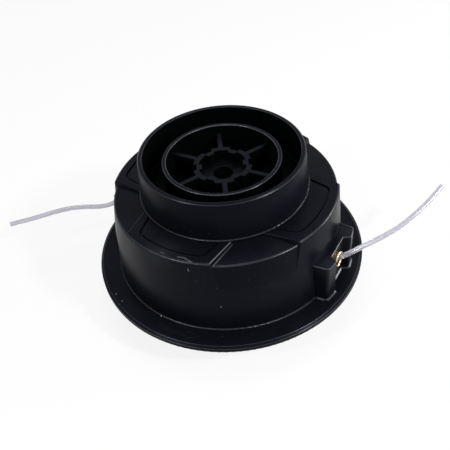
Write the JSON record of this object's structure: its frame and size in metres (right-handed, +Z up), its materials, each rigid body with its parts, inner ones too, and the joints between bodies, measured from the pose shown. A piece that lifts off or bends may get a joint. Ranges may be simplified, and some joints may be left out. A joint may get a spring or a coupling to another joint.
{
  "type": "trimmer head",
  "caption": "Round bump-feed line head for a brush cutter: moulded drum on a wide brim, toothed drive hub, brass eyelets with line tails, sprung spool and bump knob.",
  "frame": {"origin": "on the ground under the bump knob, where the shaft axis meets it", "axes": "+Z up along the drive shaft, out of the hub; +X towards the right eyelet"},
  "size_m": [0.1892, 0.1339, 0.0732],
  "materials": {
    "black_nylon": "satin moulded",
    "cover_nylon": "satin moulded",
    "knob_nylon": "satin moulded",
    "spool_plastic": "satin moulded",
    "eyelet_brass": "polished",
    "plated_steel": "zinc plated",
    "spring_steel": "drawn wire",
    "line_nylon": "natural nylon"
  },
  "bodies": {
    "head": {"housing": "black_nylon", "cover": "cover_nylon", "eyelet_right": "eyelet_brass", "eyelet_left": "eyelet_brass", "arbor_nut": "plated_steel", "spring": "spring_steel", "line_tail_right": "line_nylon", "line_tail_left": "line_nylon"},
    "thrust": {"thrust_washer": "plated_steel"},
    "spool": {"spool": "spool_plastic", "line_coil_lower": "line_nylon", "line_coil_upper": "line_nylon", "bump_knob": "knob_nylon", "knob_screw": "plated_steel"}
  },
  "joints": [
    {"name": "bump", "type": "slide", "parent": "head", "child": "thrust", "axis": [0, 0, 1], "range_m": [0, 0.005], "stiffness_N_per_m": 800, "springref_m": -0.015, "deforming": ["spring"]},
    {"name": "spool_turn", "type": "hinge", "parent": "thrust", "child": "spool", "pos_m": [0, 0, 0.026], "axis": [0, 0, 1], "range_deg": [-24, 0]}
  ]
}
